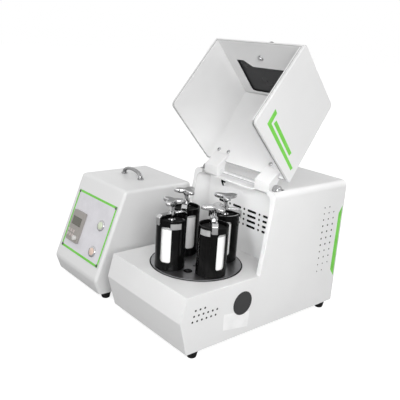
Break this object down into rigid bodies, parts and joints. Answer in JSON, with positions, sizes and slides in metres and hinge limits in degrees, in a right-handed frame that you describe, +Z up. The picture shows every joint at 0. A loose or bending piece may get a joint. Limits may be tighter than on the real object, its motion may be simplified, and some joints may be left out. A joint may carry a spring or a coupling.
{
  "type": "planetary ball mill",
  "caption": "Benchtop planetary ball mill: clamped jars on a turning disk under a hinged hood, with a separate slanted control box carrying a keypad, a dial and push buttons.",
  "frame": {"origin": "middle of the outline on the table, under the rubber feet", "axes": "+X to the right along the front, +Y from the front to the back, +Z up"},
  "size_m": [0.595, 0.5394, 0.6969],
  "materials": {
    "housing_shell": "satin white powder coat",
    "rear_panel": "satin white powder coat",
    "lid_shell": "satin white powder coat",
    "box_shell": "satin white powder coat",
    "box_rear_panel": "satin white powder coat",
    "fascia_plate": "satin white powder coat",
    "chamber_liner": "satin white paint",
    "base_pan": "satin white paint",
    "lid_liner": "satin white paint",
    "box_base": "satin white paint",
    "left_hinge_arm": "satin white paint",
    "right_hinge_arm": "satin white paint",
    "side_plug": "moulded grain",
    "lid_knob": "moulded grain",
    "hinge_shaft": "polished",
    "clamp_bar_1": "polished",
    "clamp_bar_2": "polished",
    "clamp_bar_3": "polished",
    "clamp_bar_4": "polished",
    "clamp_knob_1": "polished",
    "clamp_knob_2": "polished",
    "clamp_knob_3": "polished",
    "clamp_knob_4": "polished",
    "start_bezel": "polished",
    "stop_bezel": "polished",
    "box_handle": "polished",
    "mechanism_plate": "machined",
    "ring_gear": "machined",
    "bearing_housing": "machined",
    "main_shaft": "machined",
    "driven_pulley": "machined",
    "motor_shaft": "machined",
    "motor_pulley": "machined",
    "planet_gear_1": "machined",
    "planet_gear_2": "machined",
    "planet_gear_3": "machined",
    "planet_gear_4": "machined",
    "lower_bearing": "ground",
    "upper_bearing": "ground",
    "drive_belt": "matt",
    "motor_body": "dark grey paint",
    "planet_disk": "dark turned face",
    "jar_carrier_1": "gloss black",
    "jar_carrier_2": "gloss black",
    "jar_carrier_3": "gloss black",
    "jar_carrier_4": "gloss black",
    "milling_jar_1": "smooth white",
    "milling_jar_2": "smooth white",
    "milling_jar_3": "smooth white",
    "milling_jar_4": "smooth white",
    "jar_lid_1": "smooth grey",
    "jar_lid_2": "smooth grey",
    "jar_lid_3": "smooth grey",
    "jar_lid_4": "smooth grey",
    "lid_window": "smoked clear pane",
    "keypad_housing": "moulded",
    "speed_dial": "moulded",
    "start_button": "translucent cap",
    "stop_button": "translucent cap",
    "inverter_drive": "moulded"
  },
  "bodies": {
    "mill_and_control_box": {"housing_shell": "housing_shell", "chamber_liner": "chamber_liner", "base_pan": "base_pan", "rear_panel": "rear_panel", "side_plug": "side_plug", "hinge_shaft": "hinge_shaft", "mechanism_plate": "mechanism_plate", "ring_gear": "ring_gear", "bearing_housing": "bearing_housing", "lower_bearing": "lower_bearing", "upper_bearing": "upper_bearing", "drive_belt": "drive_belt", "motor_body": "motor_body", "box_shell": "box_shell", "box_base": "box_base", "box_rear_panel": "box_rear_panel", "fascia_plate": "fascia_plate", "keypad_housing": "keypad_housing", "start_bezel": "start_bezel", "stop_bezel": "stop_bezel", "box_handle": "box_handle", "inverter_drive": "inverter_drive"},
    "rotor": {"planet_disk": "planet_disk", "main_shaft": "main_shaft", "driven_pulley": "driven_pulley"},
    "motor_spindle": {"motor_shaft": "motor_shaft", "motor_pulley": "motor_pulley"},
    "lid": {"lid_shell": "lid_shell", "lid_liner": "lid_liner", "lid_window": "lid_window", "left_hinge_arm": "left_hinge_arm", "right_hinge_arm": "right_hinge_arm", "lid_knob": "lid_knob"},
    "speed_dial": {"speed_dial": "speed_dial"},
    "start_button": {"start_button": "start_button"},
    "stop_button": {"stop_button": "stop_button"},
    "jar_station_1": {"planet_gear_1": "planet_gear_1", "jar_carrier_1": "jar_carrier_1", "milling_jar_1": "milling_jar_1", "jar_lid_1": "jar_lid_1", "clamp_bar_1": "clamp_bar_1"},
    "clamp_screw_1": {"clamp_knob_1": "clamp_knob_1"},
    "jar_station_2": {"planet_gear_2": "planet_gear_2", "jar_carrier_2": "jar_carrier_2", "milling_jar_2": "milling_jar_2", "jar_lid_2": "jar_lid_2", "clamp_bar_2": "clamp_bar_2"},
    "clamp_screw_2": {"clamp_knob_2": "clamp_knob_2"},
    "jar_station_3": {"planet_gear_3": "planet_gear_3", "jar_carrier_3": "jar_carrier_3", "milling_jar_3": "milling_jar_3", "jar_lid_3": "jar_lid_3", "clamp_bar_3": "clamp_bar_3"},
    "clamp_screw_3": {"clamp_knob_3": "clamp_knob_3"},
    "jar_station_4": {"planet_gear_4": "planet_gear_4", "jar_carrier_4": "jar_carrier_4", "milling_jar_4": "milling_jar_4", "jar_lid_4": "jar_lid_4", "clamp_bar_4": "clamp_bar_4"},
    "clamp_screw_4": {"clamp_knob_4": "clamp_knob_4"}
  },
  "joints": [
    {"name": "disk_spin", "type": "hinge", "parent": "mill_and_control_box", "child": "rotor", "pos_m": [0.14925, -0.10975, 0.155], "axis": [0, 0, 1], "continuous": true},
    {"name": "motor_spin", "type": "hinge", "parent": "mill_and_control_box", "child": "motor_spindle", "pos_m": [0.14925, 0.14725, 0.06], "axis": [0, 0, 1], "continuous": true},
    {"name": "jar_spin_1", "type": "hinge", "parent": "rotor", "child": "jar_station_1", "pos_m": [0.22065, -0.12493, 0.1613], "axis": [0, 0, 1], "continuous": true},
    {"name": "jar_spin_2", "type": "hinge", "parent": "rotor", "child": "jar_station_2", "pos_m": [0.16443, -0.03834, 0.1613], "axis": [0, 0, 1], "continuous": true},
    {"name": "jar_spin_3", "type": "hinge", "parent": "rotor", "child": "jar_station_3", "pos_m": [0.07784, -0.09457, 0.1613], "axis": [0, 0, 1], "continuous": true},
    {"name": "jar_spin_4", "type": "hinge", "parent": "rotor", "child": "jar_station_4", "pos_m": [0.13407, -0.18116, 0.1613], "axis": [0, 0, 1], "continuous": true},
    {"name": "clamp_turn_1", "type": "hinge", "parent": "jar_station_1", "child": "clamp_screw_1", "pos_m": [0.22065, -0.12493, 0.32], "axis": [0, 0, 1], "range_deg": [0, 720]},
    {"name": "clamp_turn_2", "type": "hinge", "parent": "jar_station_2", "child": "clamp_screw_2", "pos_m": [0.16443, -0.03834, 0.32], "axis": [0, 0, 1], "range_deg": [0, 720]},
    {"name": "clamp_turn_3", "type": "hinge", "parent": "jar_station_3", "child": "clamp_screw_3", "pos_m": [0.07784, -0.09457, 0.32], "axis": [0, 0, 1], "range_deg": [0, 720]},
    {"name": "clamp_turn_4", "type": "hinge", "parent": "jar_station_4", "child": "clamp_screw_4", "pos_m": [0.13407, -0.18116, 0.32], "axis": [0, 0, 1], "range_deg": [0, 720]},
    {"name": "lid_hinge", "type": "hinge", "parent": "mill_and_control_box", "child": "lid", "pos_m": [0.14625, 0.02075, 0.36], "axis": [1, 0, 0], "range_deg": [0, 129.5]},
    {"name": "dial_turn", "type": "hinge", "parent": "mill_and_control_box", "child": "speed_dial", "pos_m": [-0.20595, -0.25425, 0.13398], "axis": [0, -0.9358, 0.3526], "range_deg": [-150, 150]},
    {"name": "start_press", "type": "slide", "parent": "mill_and_control_box", "child": "start_button", "axis": [0, 0.9358, -0.3526], "range_m": [0, 0.002], "stiffness_N_per_m": 800, "springref_m": -0.001},
    {"name": "stop_press", "type": "slide", "parent": "mill_and_control_box", "child": "stop_button", "axis": [0, 0.9358, -0.3526], "range_m": [0, 0.002], "stiffness_N_per_m": 800, "springref_m": -0.001}
  ],
  "couplings": [
    {"joint": "motor_spin", "follows": "disk_spin", "ratio": 2.4},
    {"joint": "jar_spin_1", "follows": "disk_spin", "ratio": -3},
    {"joint": "jar_spin_2", "follows": "disk_spin", "ratio": -3},
    {"joint": "jar_spin_3", "follows": "disk_spin", "ratio": -3},
    {"joint": "jar_spin_4", "follows": "disk_spin", "ratio": -3}
  ]
}
